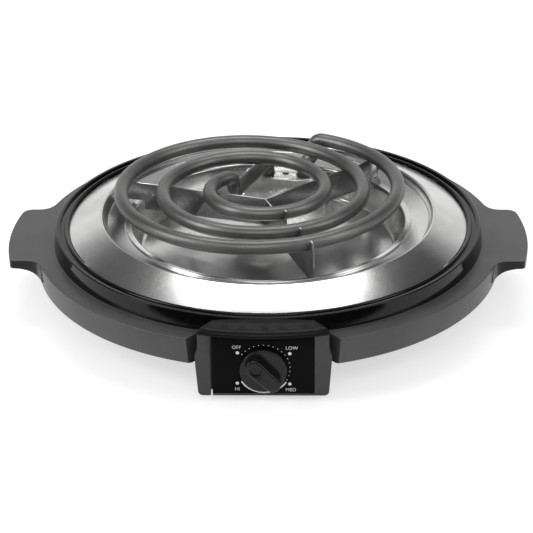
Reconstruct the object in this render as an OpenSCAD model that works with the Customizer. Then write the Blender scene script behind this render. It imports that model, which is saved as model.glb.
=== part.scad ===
// Countertop coil burner: a sheathed heating coil over a drip bowl, set in a
// moulded body with two handles and a control box.
// Millimetres. The table is z = 0, the bowl's axis is Z and the knob faces -Y.

/* [Trim ring and bowl] */
// Radius of the trim ring's outer edge
ring_r = 102.5; // [99:0.5:106]
// Radius of the ring's rolled lip
lip_r = 86.4; // [84:0.2:89]
// Height of the lip above the ring's outer edge
lip_rise = 7; // [5:0.2:9]
// Radius at the foot of the lip's inner wall
ledge_r = 83.2; // [80:0.2:83.6]
// Height of the ledge above the ring's outer edge, at the lip's foot
ledge_rise = 3.3; // [2.2:0.1:4]
// Radius of the opening that holds the bowl
well_r = 71.8; // [69:0.2:74]
// How far the ledge falls from the lip's foot to the opening
ledge_fall = 2.3; // [1.2:0.1:2.8]
// Sheet thickness of the ring, the bowl and the terminal bracket
sheet_t = 0.7; // [0.5:0.05:0.9]
// Depth of the bowl below the ring's outer edge
bowl_depth = 14.5; // [12:0.5:17]
// Radius of the bowl's flat floor
bowl_floor_r = 64.6; // [62:0.2:66]
// Width of the bowl's flange on the ledge
flange_w = 2.4; // [1.6:0.2:4]
// Number of tabs on the ring's edge
ring_tab_n = 6; // [3:1:8]
// Width of each ring tab
ring_tab_w = 5; // [3:0.5:8]

/* [Body] */
// Height of the body's flat top above the base pan's flange
shell_h = 14.8; // [13:0.2:18]
// Depth of the skirt below the flat top
skirt_h = 13.8; // [11:0.2:14.4]
// How far the skirt draws in at its foot
skirt_draft = 1.2; // [0.6:0.1:2]
// Thickness of the moulded walls of the body
body_wall = 2.4; // [1.8:0.1:3]
// Height of the collar above the flat top
collar_h = 8.2; // [7:0.2:10]
// How far the collar spreads at its foot
collar_draft = 1.5; // [0.8:0.1:2.5]
// Height of the collar's top above the ring's outer edge
collar_over = 1.2; // [0.6:0.1:2]
// Width of the bead round the ring
bead_w = 2.1; // [1.6:0.1:2.6]
// Width of the groove between the bead and the collar's rim
groove_w = 2.1; // [1.6:0.1:2.6]
// Depth of that groove
groove_d = 1.3; // [0.8:0.1:1.8]
// Width of the collar's rim
rim_w = 2; // [1.6:0.1:2.6]
// Width of the flat top outside the collar
flat_w = 9.4; // [8:0.2:12]
// Width of the ledge that carries the ring
ring_seat_w = 5; // [4:0.5:6]
// Rounding of the body's top edge
edge_r = 0.5; // [0.3:0.1:1]

/* [Handles] */
// How far the handles reach out from the body
handle_reach = 13.6; // [11:0.2:18]
// Width of each handle
handle_w = 62; // [52:1:72]
// How far the handles sit toward the front
handle_fore = 2.2; // [0:0.2:4]
// Thickness at the handle's tip
handle_tip_t = 4.2; // [3.5:0.1:5.5]
// Radius of the finger scoop under the handle
scoop_r = 24; // [20:1:30]
// Distance of the scoop's deepest line from the handle's tip
scoop_in = 5; // [3:0.5:7]
// Rounding of the handle's back corners
handle_corner_r = 5.5; // [3:0.5:8]
// Rounding of the handle's front corners
handle_front_corner_r = 2.5; // [1.5:0.5:5]
// Fillet where a handle meets the body
handle_fillet_r = 8; // [5:0.5:11]

/* [Control box] */
// Distance of the control panel's face from the bowl's axis
panel_face = 116.5; // [115.5:0.1:117.5]
// Width of the control panel
panel_w = 48.4; // [46:0.2:50]
// Height of the control box from its foot to the body's flat top
box_h = 29.6; // [27:0.2:30.4]
// Width of the control box's front frame where it is widest
box_w = 64.8; // [63:0.2:65.6]
// Height of that widest line above the foot of the box
box_wide_rise = 20.6; // [18:0.2:22]
// How much each side of the frame draws in at its foot
box_draft = 1.3; // [0.6:0.1:3]
// How much each side of the frame draws in above its widest line
box_neck = 1.4; // [0.8:0.1:2]
// Depth of the front frame
frame_depth = 5; // [4:0.1:5.2]
// Width of the box behind its front frame
box_body_w = 52.4; // [50:0.2:53]
// Depth of the control box from front to back
box_depth = 26.5; // [24:0.5:29]
// Thickness of the box's walls
box_wall = 2.2; // [1.8:0.1:2.6]
// Thickness of the control panel
panel_t = 1.6; // [1.4:0.1:2]
// Height of the lip under the panel
panel_lip = 1.1; // [0.8:0.1:2]
// Width of the groove left of the panel
panel_groove = 0.8; // [0.5:0.1:1.2]
// Width of the hood at the collar
hood_back_w = 47.6; // [46:0.2:52]
// Width of the hood at its front edge
hood_front_w = 62.6; // [61:0.2:64]
// How far the hood's top falls from the collar to its rounded nose
hood_fall = 1.8; // [0.5:0.1:2.2]
// Height of the hood's front lip
hood_lip = 4; // [3:0.2:5]
// Width of the notch in the body at the collar's foot
notch_back_w = 58.6; // [57.6:0.2:61]
// Width of the notch at the body's edge
notch_front_w = 72.6; // [71.6:0.2:76]

/* [Knob and thermostat] */
// Height of the knob's axis above the foot of the control box
knob_rise = 14.6; // [14:0.1:16]
// Diameter of the knob's disc
knob_d = 22.4; // [20:0.2:25]
// Thickness of the knob's disc
knob_disc_t = 2.6; // [2.2:0.1:3.4]
// Height of the knob's grip above its disc
grip_h = 5.6; // [5:0.2:8]
// Width of the grip
grip_w = 8.4; // [8:0.2:9.6]
// Length of the grip
grip_l = 20.4; // [18:0.2:22]
// Diameter of the dimple in the grip
dimple_d = 5.4; // [4:0.2:6.4]
// Angle of the grip's pointer above the level, as the burner stands
pointer_angle = -45; // [-146:1:146]
// Diameter of the thermostat's shaft
shaft_d = 6; // [5:0.1:6.4]
// Depth of the flat on the shaft
shaft_flat = 1.2; // [0.8:0.1:1.6]
// Width of the thermostat
thermo_w = 24; // [20:0.5:26]
// Height of the thermostat
thermo_h = 20; // [17:0.5:21]
// Depth of the thermostat
thermo_depth = 14; // [12:0.5:16]

/* [Heating coil] */
// Diameter of the coil's sheath
tube_d = 7.3; // [6.5:0.1:8]
// Height of the coil's centre line above the ring's outer edge
coil_rise = 16.7; // [15.5:0.1:18]
// Where the coil is widest on the right, from the bowl's axis
coil_right = 67.2; // [64:0.2:70]
// Distance of that point behind the bowl's axis
coil_back = 8; // [4:0.5:12]
// Bend radius of each quarter turn, from the outside in
coil_bends = [74, 69, 62.5, 62.5, 53, 50, 44, 39.5, 32, 27.5];
// Bend radius of the outer end, behind the widest point
coil_start_bend = 65.5; // [60:0.5:70]
// Sweep of the outer end
coil_start_sweep = 66; // [60:1:72]
// Bend radius of the inner end
coil_end_bend = 22; // [20:0.5:25]
// Sweep of the inner end
coil_end_sweep = 50; // [44:1:60]
// Height of the coil's cold legs above the ring's outer edge
leg_rise = 6.8; // [6:0.1:8]

/* [Coil support] */
// Height of the support arms
arm_h = 14.7; // [12:0.1:16]
// Thickness of the support arms
arm_t = 0.9; // [0.7:0.1:1.2]
// How far the arms' hub sits left of the bowl's axis
hub_left = 1.2; // [0:0.1:5]
// How far the arms' hub sits in front of the bowl's axis
hub_fore = 1.2; // [0:0.1:2]
// Directions of the front, right and left arms
arm_angles = [-69.8, 42, 163.2];
// Height of the tabs on the front arm
tab_h = 7; // [5:0.2:9]
// Height of the tabs on the right and left arms
side_tab_h = 1; // [0.8:0.2:6]
// How far the front, right and left arms run on past the room their outer tabs need
arm_over = [3, 0, 0.6];
// Share of that run by which the outer tabs lean in
tab_lean = 0.8; // [0:0.1:1]
// Length of each tab along its arm
tab_l = 2.2; // [1.6:0.1:3]

/* [Terminals] */
// Direction of the terminals from the bowl's axis
term_angle = 82; // [78:1:86]
// Distance of the terminals inside the opening that holds the bowl
term_in = 10.8; // [10.3:0.1:12.3]
// Distance between the two terminals
term_pitch = 20; // [17:0.5:22]
// Distance of the bracket's front wall before the terminals
bracket_fore = 7; // [6.6:0.1:8]
// Width of the terminal bracket
bracket_w = 44; // [42:0.5:46]
// Thickness of the ceramic terminal block
block_t = 9; // [7:0.5:10]
// Diameter of the terminal pins
pin_d = 4; // [3:0.5:4.5]

/* [Base] */
// Height of the feet
foot_h = 8; // [6:0.5:10]
// Diameter of each foot
foot_d = 16; // [13:0.5:17]
// Distance of the feet from the middle, left and right
foot_x = 54; // [48:1:56]
// Distance of the feet from the middle, front and back
foot_y = 50; // [44:1:52]
// Depth of the base pan from its flange to its floor
pan_depth = 9.4; // [8:0.2:11]
// Sheet thickness of the base pan
pan_t = 0.8; // [0.6:0.1:1]
// Radius of the pan's floor
pan_floor_r = 84; // [83:0.5:86]
// Number of vents in the pan's floor
vent_n = 12; // [8:1:16]
// Diameter of the cord inlet's hole in the body
inlet_d = 9; // [7:0.2:9.6]
// Diameter of the inner wires
wire_d = 2.6; // [2:0.1:3]
// Diameter of the small screws' threads
screw_d = 3; // [2.5:0.1:3.2]

/* [Hidden] */
$fn = 96;

// Clearances
ring_gap = 0.8;      // trim ring to the bead round it
rest_gap = 0.05;     // between pieces that rest on each other's curved faces
part_gap = 0.4;      // between neighbouring mouldings
run_gap = 0.05;      // radial, shaft in its bushing
hole_gap = 0.3;      // radial, a screw or pin in its hole
knob_gap = 0.5;      // knob's disc to the panel
thread_bite = 0.15;  // radial, a screw's thread into its pilot hole
eps = 0.01;

// Heights, from the table up
pan_z = foot_h;
seat_z = pan_z + pan_depth + pan_t;
top_z = seat_z + shell_h;
skirt_z = top_z - skirt_h;
collar_z = top_z + collar_h;
ring_z = collar_z - collar_over;
coil_z = ring_z + coil_rise;
leg_z = ring_z + leg_rise;
floor_z = ring_z - bowl_depth;
under_top = top_z - body_wall;
seat_top = ring_z - sheet_t;
seat_under = seat_top - body_wall;
box_z = top_z - box_h;
knob_z = box_z + knob_rise;

// Radii of the body, from the ring out
bead_in = ring_r + ring_gap;
groove_in = bead_in + bead_w;
rim_in = groove_in + groove_w;
collar_r = rim_in + rim_w;
collar_foot = collar_r + collar_draft;
body_r = collar_foot + flat_w;
skirt_r = body_r - skirt_draft;
seat_in = ring_r - ring_seat_w;
handle_r = body_r + handle_reach;
term_r = well_r - term_in;
bracket_r = term_r - bracket_fore;
shaft_r = shaft_d / 2;
tube_r = tube_d / 2;

// Ledge of the trim ring: its top at radius r
ledge_slope = ledge_fall / (ledge_r - well_r);
function ledge_z(r) = ring_z + ledge_rise - (ledge_r - r) * ledge_slope;

function polar(r, a) = [r * cos(a), r * sin(a)];
function arc(c, r, a0, a1, n = 6) = [for (i = [0:n]) c + polar(r, a0 + (a1 - a0) * i / n)];
function reversed(p) = [for (i = [len(p) - 1:-1:0]) p[i]];

// Outline of a sheet of thickness t whose upper face follows the path p.
// The sheet lies to the left of the path.
function unit(v) = v / norm(v);
function left_of(v) = [-v[1], v[0]];
function side(p, i) = left_of(unit(p[i + 1] - p[i]));
function miter(p, i) =
    i == 0 ? side(p, 0) : i == len(p) - 1 ? side(p, i - 1)
    : (side(p, i - 1) + side(p, i)) / (1 + side(p, i - 1) * side(p, i));
function sheet(p, t) = concat(p, reversed([for (i = [0:len(p) - 1]) p[i] + t * miter(p, i)]));

// A screw standing on its head at the origin, its thread pointing up
module screw(length, head_d = 5.6, head_t = 1.8, d = screw_d) {
    cylinder(d = head_d, h = head_t, $fn = 32);
    translate([0, 0, head_t - eps]) cylinder(d = d, h = length + eps, $fn = 32);
}

// A hexagonal nut round a hole, its lower face at the origin
module nut(across, t, hole) {
    difference() {
        cylinder(d = across / cos(30), h = t, $fn = 6);
        translate([0, 0, -1]) cylinder(d = hole, h = t + 2, $fn = 32);
    }
}

// Places children on the front axis of the knob, with their Z pointing at the user
module on_panel(y) {
    translate([0, -y, knob_z]) rotate([90, 0, 0]) children();
}

// Places children in the frame of the terminals: X outward, Y to the left
module at_terminals() {
    rotate([0, 0, term_angle]) children();
}

// ---- trim ring ----

lip_bend = 1.3;
lip_c = [lip_r - 0.2, ring_z + lip_rise - lip_bend];
ring_path = concat([[ring_r, ring_z]], arc(lip_c, lip_bend, 66, 198, 8),
                   [[ledge_r, ring_z + ledge_rise], [well_r, ledge_z(well_r)]]);

// Tabs on the ring's edge centre it inside the bead
ring_tab_t = 0.55;

module trim_ring() {
    color("silver") {
        rotate_extrude() polygon(sheet(ring_path, sheet_t));
        for (i = [0:ring_tab_n - 1]) rotate([0, 0, -90 + 360 / ring_tab_n * i])
            translate([ring_r - 1, -ring_tab_w / 2, ring_z - ring_tab_t])
                cube([1 + ring_gap - part_gap / 4, ring_tab_w, ring_tab_t]);
    }
}

// ---- drip bowl ----

bowl_top = well_r - 0.4;
bowl_neck = well_r - 1.4;
flange_lift = rest_gap + sheet_t * norm([1, ledge_slope]);
bowl_path = [[bowl_top + flange_w, ledge_z(bowl_top + flange_w) + flange_lift],
             [bowl_top, ledge_z(bowl_top) + flange_lift],
             [bowl_neck, ledge_z(bowl_top) + flange_lift - 1.2],
             [bowl_floor_r + 2.3, floor_z + 2.8],
             [bowl_floor_r + 1.5, floor_z + 1.1],
             [bowl_floor_r, floor_z], [0, floor_z]];
// The opening behind the terminal bracket
cutout_in = bracket_r + 2;
cutout_top = ring_z - 1.6;

module drip_bowl() {
    color("gainsboro") difference() {
        rotate_extrude() polygon(sheet(bowl_path, sheet_t));
        at_terminals() translate([cutout_in, -bracket_w / 2 + 2, floor_z - 3])
            cube([30, bracket_w - 4, cutout_top - floor_z + 3]);
    }
}

// ---- terminals ----

bracket_top = ring_z;
bracket_bend = 1.4;
bracket_foot = floor_z + rest_gap;
leg_hole = tube_r + 0.65;

module terminal_bracket() {
    profile = sheet(concat([[bracket_r, bracket_foot]],
        arc([bracket_r + bracket_bend, bracket_top - bracket_bend], bracket_bend, 180, 90, 4),
        [[bracket_r + 30, bracket_top]]), -sheet_t);
    color("gainsboro") at_terminals() difference() {
        intersection() {
            union() {
                translate([0, bracket_w / 2, 0]) rotate([90, 0, 0]) linear_extrude(bracket_w)
                    polygon(profile);
                for (s = [-1, 1]) translate([bracket_r, s * (bracket_w / 2 - sheet_t / 2) - sheet_t / 2,
                                             bracket_foot])
                    cube([30, sheet_t, bracket_top - bracket_foot - bracket_bend]);
            }
            rotate_extrude() polygon(concat([[0, bowl_path[2][1]]],
                [for (i = [2:5]) bowl_path[i] - [part_gap, 0]], [[0, floor_z]]));
        }
        for (s = [-1, 1]) translate([term_r, s * term_pitch / 2, bracket_top - 3])
            cylinder(r = leg_hole, h = 6, $fn = 48);
        translate([term_r, 0, bracket_top - 3]) cylinder(d = screw_d + 2 * hole_gap, h = 6, $fn = 32);
    }
}

block_top = bracket_top - sheet_t - rest_gap;
block_z = block_top - block_t;
block_l = 2 * (bracket_fore - bracket_bend - rest_gap);
block_w = term_pitch + 15;

module terminal_block() {
    color("ivory") at_terminals() difference() {
        translate([term_r - block_l / 2, -block_w / 2, block_z]) cube([block_l, block_w, block_t]);
        for (s = [-1, 1]) translate([term_r, s * term_pitch / 2, block_z - 1])
            cylinder(r = tube_r + hole_gap / 2, h = block_t + 2, $fn = 48);
        translate([term_r, 0, block_z - 1]) cylinder(d = screw_d + 2 * hole_gap, h = block_t + 2, $fn = 32);
    }
}

// ---- heating coil ----

bend_n = len(coil_bends);
// Direction from a quarter turn's centre to its far end, for the turn numbered i
function joint_dir(i) = polar(1, -90 * i);
// Centres of the quarter turns: each lies on the radius that it shares with the one before
function bend_centre(i) = i == 0 ? [coil_right - coil_bends[0], coil_back]
    : bend_centre(i - 1) + (coil_bends[i - 1] - coil_bends[i]) * joint_dir(i);
start_centre = [coil_right - coil_start_bend, coil_back];
end_centre = bend_centre(bend_n - 1) + (coil_bends[bend_n - 1] - coil_end_bend) * joint_dir(bend_n);
// Where the turns end, and which way the tube then heads
outer_end = start_centre + polar(coil_start_bend, coil_start_sweep);
outer_heading = coil_start_sweep + 90;
inner_end = end_centre + polar(coil_end_bend, -90 * bend_n - coil_end_sweep);
inner_heading = -90 * bend_n - coil_end_sweep - 90;
// The cold legs step down from the turns to leg_z in two equal bends
step_bend = (coil_z - leg_z) / 2;
outer_step = outer_end + polar(step_bend, outer_heading);
inner_step = inner_end + polar(step_bend, inner_heading);
function terminal(s) = polar(term_r, term_angle) + polar(s * term_pitch / 2, term_angle + 90);
leg_foot_z = block_z - 2;
swage = 0.04;

// A quarter bend of the tube in a vertical plane. It starts level at the origin,
// heads along X and turns down. Its stubs enter the tubes that it joins.
module bend_down(r, stub, tail = 0) {
    translate([0, 0, -step_bend]) rotate([90, 0, 0]) rotate_extrude(angle = 90, $fn = 64)
        translate([step_bend, 0]) circle(r, $fn = 32);
    translate([-stub, 0, 0]) rotate([0, 90, 0]) cylinder(r = r, h = stub, $fn = 32);
    if (tail > 0) translate([step_bend, 0, -step_bend - tail]) cylinder(r = r, h = tail, $fn = 32);
}

// A cold leg: two bends down to the leg's height, a level run to the terminal
// and a bend down into it. The swaged leg is a little thinner than the turns.
module cold_leg(end, heading, step, target) {
    run = target - step;
    level = norm(run) - 2 * step_bend;
    leg_r = tube_r - swage;
    bend_r = leg_r - swage;
    translate([end[0], end[1], coil_z]) rotate([0, 0, heading]) bend_down(leg_r, 0.8);
    translate([step[0], step[1], leg_z]) rotate([0, 0, atan2(run[1], run[0])]) {
        translate([step_bend, 0, 0]) mirror([1, 0, 0]) mirror([0, 0, 1]) bend_down(bend_r, 0.5, 0.5);
        translate([step_bend, 0, 0]) rotate([0, 90, 0]) cylinder(r = leg_r, h = level, $fn = 32);
        translate([step_bend + level, 0, 0]) bend_down(bend_r, 0.5, 0.5);
        translate([norm(run), 0, leg_foot_z - leg_z])
            cylinder(r = leg_r, h = leg_z - step_bend - leg_foot_z, $fn = 32);
    }
}

module heating_coil() {
    color("dimgray") {
        for (i = [0:bend_n - 1]) translate([bend_centre(i)[0], bend_centre(i)[1], coil_z])
            rotate([0, 0, -90 * (i + 1)]) rotate_extrude(angle = 90)
                translate([coil_bends[i], 0]) circle(tube_r, $fn = 32);
        translate([start_centre[0], start_centre[1], coil_z])
            rotate_extrude(angle = coil_start_sweep) translate([coil_start_bend, 0])
                circle(tube_r, $fn = 32);
        translate([end_centre[0], end_centre[1], coil_z])
            rotate([0, 0, -90 * bend_n]) mirror([0, 1, 0]) rotate_extrude(angle = coil_end_sweep)
                translate([coil_end_bend, 0]) circle(tube_r, $fn = 32);
        cold_leg(outer_end, outer_heading, outer_step, terminal(-1));
        cold_leg(inner_end, inner_heading, inner_step, terminal(1));
    }
}

module terminal_pins() {
    color("silver") for (s = [-1, 1]) translate([terminal(s)[0], terminal(s)[1], pin_z])
        cylinder(d = pin_d, h = leg_foot_z - pin_z, $fn = 32);
}

pin_z = pan_z + pan_t + 5;
lug_t = 0.8;
nut_t = 3;
nut_z = pin_z + 1.5;

module terminal_nuts() {
    color("goldenrod") for (s = [-1, 1]) translate([terminal(s)[0], terminal(s)[1], nut_z])
        nut(pin_d * 1.75, nut_t, pin_d + 2 * rest_gap);
}

// ---- coil support ----

hub = [-hub_left, -hub_fore];
arm_top = coil_z - tube_r - rest_gap;
arm_z = arm_top - arm_h;
// Distance along a ray from the hub at angle a to the quarter turn numbered i
function ray_to_bend(a, i) =
    let (v = bend_centre(i) - hub, d = polar(1, a), along = v * d, off = v * left_of(d))
    along + sqrt(coil_bends[i] * coil_bends[i] - off * off);
// The quarter turns that each arm crosses, from the outside in
arm_turns = [[0, 4, 8], [3, 7], [2, 6]];
right_outer = let (v = start_centre - hub, d = polar(1, arm_angles[1]), off = v * left_of(d))
    v * d + sqrt(coil_start_bend * coil_start_bend - off * off);
tab_off = tube_r + 0.3;
function tab_starts(k) = concat(k == 1 ? [right_outer + tab_off] : [],
    [for (i = arm_turns[k]) ray_to_bend(arm_angles[k], i) + tab_off]);
function arm_len(k) = tab_starts(k)[0] + tab_l + arm_over[k];
// The feet stand on the bowl's flange, or on the ring's ledge where the arm is long
foot_in = bowl_neck - 0.8;
function foot_z(k) = let (r = norm(hub + polar(arm_len(k), arm_angles[k])))
    max(ledge_z(bowl_top + flange_w) + flange_lift, ledge_z(r)) + rest_gap;

// One arm along X from the hub, standing on its edge
module arm_blade(k, start) {
    reach = arm_len(k);
    rise = k == 0 ? tab_h : side_tab_h;
    tab_z = arm_top + rise;
    tip = reach - arm_over[k] * tab_lean;
    step_at = foot_in - norm(hub) - 1;
    translate([0, arm_t / 2, 0]) rotate([90, 0, 0]) linear_extrude(arm_t)
        polygon(concat([[start, arm_z], [step_at, arm_z], [step_at, foot_z(k)],
                        [reach, foot_z(k)], [reach, arm_top], [tip, tab_z]],
            [for (s = tab_starts(k)) each (s == tab_starts(k)[0]
                ? [[tip - tab_l, tab_z], [s, arm_top]]
                : [[s + tab_l, arm_top], [s + tab_l, tab_z], [s, tab_z], [s, arm_top]])],
            [[start, arm_top]]));
}

module support_strip() {
    color("slategray") translate([hub[0], hub[1], 0]) {
        for (k = [1, 2]) rotate([0, 0, arm_angles[k]]) arm_blade(k, 0);
        translate([0, 0, arm_z]) cylinder(d = 1.6 * arm_t, h = arm_h, $fn = 24);
    }
}

module support_arm() {
    color("slategray") translate([hub[0], hub[1], 0])
        rotate([0, 0, arm_angles[0]]) arm_blade(0, arm_t + 0.1);
}

// ---- body ----

// Section of the body: seat, bead, groove, collar, flat top and skirt
body_section = concat(
    [[seat_in, seat_under], [seat_in, seat_top], [bead_in, seat_top]],
    arc([bead_in + bead_w / 2, collar_z - bead_w / 2 - 0.1], bead_w / 2, 180, 0, 8),
    [[groove_in, collar_z - groove_d], [rim_in, collar_z - groove_d], [rim_in, collar_z - 0.2],
     [rim_in + 0.2, collar_z], [collar_r - 0.2, collar_z], [collar_r, collar_z - 0.2],
     [collar_foot, top_z]],
    arc([body_r - edge_r, top_z - edge_r], edge_r, 90, 0, 4),
    [[skirt_r, skirt_z], [skirt_r - body_wall, skirt_z],
     [body_r - body_wall, under_top], [collar_foot - body_wall, under_top],
     [collar_r - body_wall, seat_under]]);

// The notch that the control box fills, in plan, widened by grow
module notch_plan(grow = 0) {
    back = [notch_back_w / 2 + grow, -sqrt(pow(collar_foot, 2) - pow(notch_back_w / 2, 2))];
    front = [notch_front_w / 2 + grow, -sqrt(pow(body_r, 2) - pow(notch_front_w / 2, 2))];
    run = front - back;
    near = back - run;
    far = front + run;
    polygon([near, far, [-far[0], far[1]], [-near[0], near[1]]]);
}

module notch_cut() {
    difference() {
        translate([0, 0, skirt_z - 1]) linear_extrude(collar_z - skirt_z + 2) notch_plan();
        translate([0, 0, top_z]) cylinder(r1 = collar_foot, r2 = collar_r, h = collar_h);
        translate([0, 0, top_z + collar_h - eps]) cylinder(r = collar_r, h = 3);
        translate([0, 0, under_top]) cylinder(r = collar_foot, h = body_wall + eps);
    }
}

// Walls that close the body's shell at both sides of the notch
module notch_walls() {
    intersection() {
        translate([0, 0, skirt_z]) linear_extrude(top_z - skirt_z - eps) difference() {
            notch_plan(body_wall);
            notch_plan();
        }
        translate([0, 0, skirt_z]) difference() {
            cylinder(r1 = skirt_r - eps, r2 = body_r - eps - edge_r * 0.1, h = skirt_h);
            translate([0, 0, -1]) cylinder(r = collar_foot - body_wall, h = skirt_h + 2);
        }
    }
}

// Outline of one handle, seen from above and pointing along X. In these functions s is 1 at
// the handle's back and -1 at its front.
function corner_r(s) = s > 0 ? handle_corner_r : handle_front_corner_r;
function corner_at(s) = let (y = handle_w / 2 - corner_r(s))
    [sqrt(pow(handle_r - corner_r(s), 2) - pow(y, 2)), s * y];
function fillet_at(s) = let (y = handle_w / 2 - s * handle_fore + handle_fillet_r)
    [sqrt(pow(body_r + handle_fillet_r, 2) - pow(y, 2)), s * y];

module handle_plan() {
    half = handle_w / 2;
    difference() {
        union() {
            translate([0, -handle_fore]) {
                intersection() {
                    circle(handle_r, $fn = 180);
                    union() for (s = [-1, 1]) {
                        translate([0, min(s * half, -s)]) square([corner_at(s)[0], half + 1]);
                        translate([0, min(corner_at(s)[1], -s)]) square([handle_r, abs(corner_at(s)[1]) + 1]);
                    }
                }
                for (s = [-1, 1]) translate(corner_at(s)) circle(corner_r(s), $fn = 48);
            }
            for (s = [-1, 1]) polygon([[0, 0], [fillet_at(s)[0], 0], fillet_at(s)]);
        }
        for (s = [-1, 1]) translate(fillet_at(s)) circle(handle_fillet_r, $fn = 48);
    }
}

module handle() {
    scoop_x = handle_r - scoop_in;
    scoop_z = top_z - handle_tip_t - scoop_r;
    difference() {
        translate([0, 0, skirt_z]) linear_extrude(skirt_h) handle_plan();
        translate([0, 0, skirt_z - 1]) cylinder(r = skirt_r - body_wall / 2, h = skirt_h + 2);
        translate([scoop_x, handle_w, scoop_z]) rotate([90, 0, 0])
            cylinder(r = scoop_r, h = 2 * handle_w, $fn = 128);
        translate([scoop_x, -handle_w, skirt_z - 1])
            cube([handle_reach, 2 * handle_w, top_z - handle_tip_t - skirt_z + 1]);
    }
}

boss_d = 8;
boss_r = seat_in + 6.5;
boss_angles = [45, 135, 225, 315];
pilot_d = screw_d - 2 * thread_bite;
ear_x = 19.6;
ear_y = -seat_in + 0.5;
ear_t = 2.2;
ear_z = under_top - 0.4;
inlet_z = skirt_z + 5.6;

module body_shell() {
    color("#3a3a3c") difference() {
        union() {
            difference() {
                rotate_extrude($fn = 180) polygon(body_section);
                notch_cut();
            }
            notch_walls();
            handle();
            mirror([1, 0, 0]) handle();
            for (a = boss_angles) rotate([0, 0, a]) translate([boss_r, 0, seat_z])
                cylinder(d = boss_d, h = seat_under - seat_z + 1, $fn = 48);
            for (s = [-1, 1]) translate([s * ear_x, ear_y, ear_z])
                cylinder(d = boss_d, h = seat_under - ear_z + 1, $fn = 48);
        }
        for (a = boss_angles) rotate([0, 0, a]) translate([boss_r, 0, seat_z - 1])
            cylinder(d = pilot_d, h = 11, $fn = 32);
        for (s = [-1, 1]) translate([s * ear_x, ear_y, ear_z - 1])
            cylinder(d = pilot_d, h = 7, $fn = 32);
        translate([0, skirt_r - 6, inlet_z]) rotate([-90, 0, 0]) cylinder(d = inlet_d, h = 12, $fn = 48);
    }
}

// ---- control box ----

panel_z = box_z + panel_lip;
hood_top = collar_z - 0.2;
hood_foot = top_z + 3;
hood_round = 3;
hood_nose = hood_top - hood_fall - hood_round;
box_back = panel_face - box_depth;
box_top = under_top - part_gap;
box_corner = 2.4;
frame_h = hood_nose - box_z + 1.2;
groove_x = -panel_w / 2 - panel_groove;
panel_ledge = 2;
slot_h = 2.4;

// Extrudes a front view from distance y0 to y1 before the bowl's axis
module slab(y0, y1) {
    translate([0, -y0, box_z]) rotate([90, 0, 0]) linear_extrude(y1 - y0) children();
}

// Front view of the frame round the panel
module frame_face() {
    wide = box_w / 2;
    foot = wide - box_draft - box_corner;
    neck = wide - box_neck;
    polygon(concat([[neck, frame_h - 1.2], [neck - 2.5, frame_h], [2.5 - neck, frame_h], [-neck, frame_h - 1.2],
                    [-neck, box_wide_rise + 4], [-wide, box_wide_rise]],
        arc([-foot, box_corner], box_corner, 180, 270), arc([foot, box_corner], box_corner, 270, 360),
        [[wide, box_wide_rise], [neck, box_wide_rise + 4]]));
}

// Front view of the box behind the frame, drawn in by inset
module box_face(inset = 0) {
    half = box_body_w / 2 - inset;
    corner = half - box_corner;
    polygon(concat([[half, box_top - box_z], [-half, box_top - box_z]],
        arc([-corner, inset + box_corner], box_corner, 180, 270),
        arc([corner, inset + box_corner], box_corner, 270, 360)));
}

// The hood in plan, straight along the collar. Its hollow is inset at the sides and runs through.
module hood_plan(inset = 0) {
    back = [hood_back_w / 2 - inset, -hood_back];
    front = [hood_front_w / 2 - inset, -sqrt(pow(body_r, 2) - pow(hood_front_w / 2, 2))];
    run = front - back;
    near = inset > 0 ? back - run : back;
    far = front + run;
    polygon([near, far, [-far[0], far[1]], [-near[0], near[1]]]);
}

// The hood's section: its top, its rounded nose and its lip
hood_back = collar_r + part_gap;
hood_section = concat([[hood_back, hood_top]],
    arc([body_r - hood_round, hood_nose], hood_round, 90, 0, 6),
    [[body_r, hood_foot + hood_lip - 4], [body_r - box_wall, hood_foot + hood_lip - 4],
     [body_r - box_wall, hood_nose], [body_r - hood_round - 0.4, hood_nose + hood_round - box_wall],
     [hood_back + 0.5, hood_top - box_wall]]);

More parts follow.
